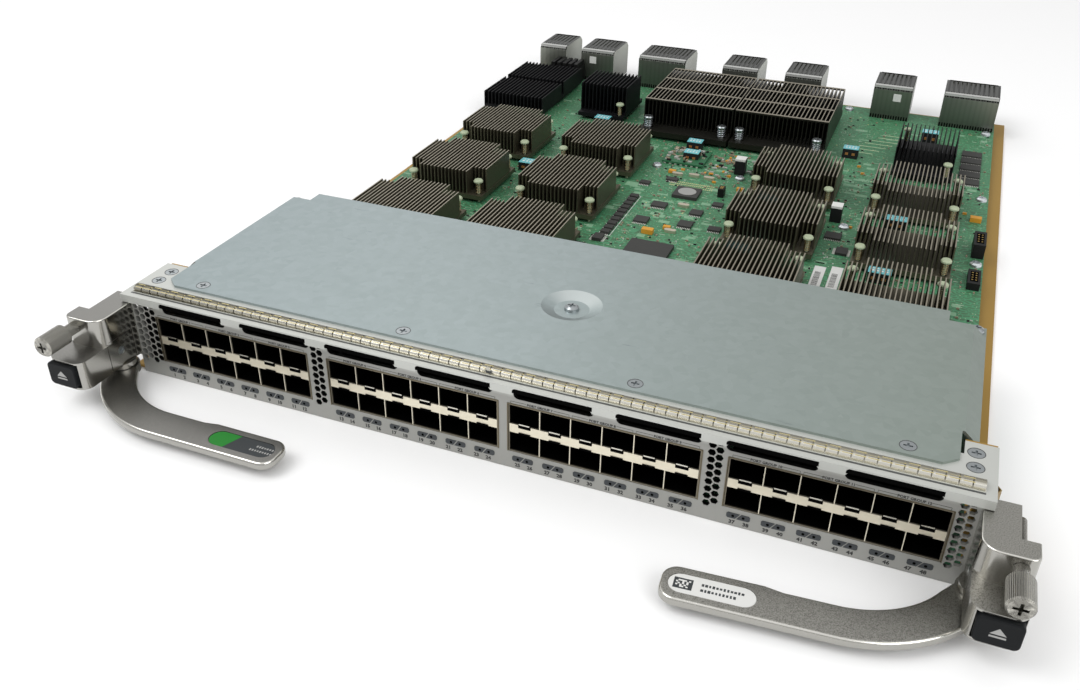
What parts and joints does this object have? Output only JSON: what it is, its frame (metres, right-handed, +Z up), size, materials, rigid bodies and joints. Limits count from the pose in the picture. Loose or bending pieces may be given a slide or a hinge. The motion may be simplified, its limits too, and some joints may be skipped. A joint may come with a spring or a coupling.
{
  "type": "switch line card",
  "caption": "Faceplate with stacked port cages and hinged ejector levers, covered front bay, open board with finned heat sinks and backplane connectors at the rear.",
  "frame": {"origin": "centre of the tray's underside", "axes": "+Y towards the backplane connectors, +Z up from the tray, +X to the right seen from the ports"},
  "size_m": [0.428, 0.6254, 0.047],
  "materials": {
    "black_anodised": "black anodised",
    "black_plastic": "matt",
    "board_green": "solder mask",
    "button_grey": "satin",
    "cap_black": "matt",
    "cast_grey": "grained metallic grey",
    "chip_black": "matt",
    "coil_grey": "moulded",
    "connector_shell": "plated shell",
    "core_plastic": "matt",
    "galvanised": "galvanised",
    "gold_chromate": "gold passivated steel",
    "light_window": "dark translucent",
    "nickel": "bright nickel",
    "nickel_sink": "dull nickel",
    "pin_plastic": "pale plastic",
    "polished": "polished",
    "post_steel": "plain",
    "screw_steel": "zinc plated",
    "silver_paint": "satin silver paint",
    "spring_bronze": "bare bronze",
    "spring_steel": "plain",
    "tantalum": "moulded"
  },
  "bodies": {
    "card": {"backplane_connector_1": "connector_shell", "backplane_connector_2": "connector_shell", "backplane_connector_3": "connector_shell", "backplane_connector_4": "connector_shell", "backplane_connector_5": "connector_shell", "backplane_connector_6": "connector_shell", "backplane_connector_7": "connector_shell", "base_tray": "gold_chromate", "black_sink_left": "black_anodised", "black_sink_middle": "black_anodised", "black_sink_right": "black_anodised", "board_screws": "screw_steel", "board_standoffs": "post_steel", "cage_dividers": "nickel", "cage_middle_bars": "nickel", "coil_modules": "coil_grey", "cooled_packages": "chip_black", "cover_flush_screws": "screw_steel", "cover_pan_screws": "screw_steel", "ear_screws": "screw_steel", "emi_gasket": "nickel", "faceplate": "silver_paint", "flat_packages": "chip_black", "front_cover": "galvanised", "heat_sinks_left_inner": "nickel_sink", "heat_sinks_left_outer": "nickel_sink", "heat_sinks_right_inner": "nickel_sink", "heat_sinks_right_outer": "nickel_sink", "large_heat_sink_left": "nickel_sink", "large_heat_sink_right": "nickel_sink", "left_button_spring": "spring_steel", "left_ear": "cast_grey", "left_pivot_pin": "screw_steel", "main_board": "board_green", "memory_chips": "chip_black", "port_cage_1": "nickel", "port_cage_2": "nickel", "port_cage_3": "nickel", "port_cage_4": "nickel", "port_connector_cores": "core_plastic", "port_light_windows": "light_window", "power_connector": "black_plastic", "push_pins": "pin_plastic", "right_button_spring": "spring_steel", "right_ear": "cast_grey", "right_pivot_pin": "screw_steel", "side_contact_springs": "spring_bronze", "side_headers": "black_plastic", "side_parts": "tantalum", "sink_spring_screws": "screw_steel", "tab_flush_screws": "screw_steel", "tall_capacitor_blocks": "cap_black"},
    "left_lever": {"left_lever": "cast_grey"},
    "right_lever": {"right_lever": "cast_grey"},
    "left_button": {"left_eject_button": "button_grey"},
    "right_button": {"right_eject_button": "button_grey"},
    "left_thumb_carrier": {"left_thumbscrew_clip": "spring_steel"},
    "right_thumb_carrier": {"right_thumbscrew_clip": "spring_steel"},
    "left_thumb_screw": {"left_thumbscrew": "polished"},
    "right_thumb_screw": {"right_thumbscrew": "polished"}
  },
  "joints": [
    {"name": "left_lever_swing", "type": "hinge", "parent": "card", "child": "left_lever", "pos_m": [-0.1995, -0.292, 0.0064], "axis": [0, 0, -1], "range_deg": [0, 45]},
    {"name": "left_button_press", "type": "slide", "parent": "card", "child": "left_button", "axis": [0, 1, 0], "range_m": [0, 0.0025], "stiffness_N_per_m": 800, "springref_m": -0.002, "deforming": ["left_button_spring"]},
    {"name": "left_thumbscrew_push", "type": "slide", "parent": "card", "child": "left_thumb_carrier", "axis": [0, 1, 0], "range_m": [0, 0.0055]},
    {"name": "left_thumbscrew_turn", "type": "hinge", "parent": "left_thumb_carrier", "child": "left_thumb_screw", "pos_m": [-0.2082, -0.283, 0.035], "axis": [0, 1, 0], "continuous": true},
    {"name": "right_lever_swing", "type": "hinge", "parent": "card", "child": "right_lever", "pos_m": [0.1995, -0.292, 0.0064], "axis": [0, 0, 1], "range_deg": [-4, 41]},
    {"name": "right_button_press", "type": "slide", "parent": "card", "child": "right_button", "axis": [0, 1, 0], "range_m": [0, 0.0025], "stiffness_N_per_m": 800, "springref_m": -0.002, "deforming": ["right_button_spring"]},
    {"name": "right_thumbscrew_push", "type": "slide", "parent": "card", "child": "right_thumb_carrier", "axis": [0, 1, 0], "range_m": [0, 0.0055]},
    {"name": "right_thumbscrew_turn", "type": "hinge", "parent": "right_thumb_carrier", "child": "right_thumb_screw", "pos_m": [0.2082, -0.283, 0.035], "axis": [0, 1, 0], "continuous": true}
  ]
}
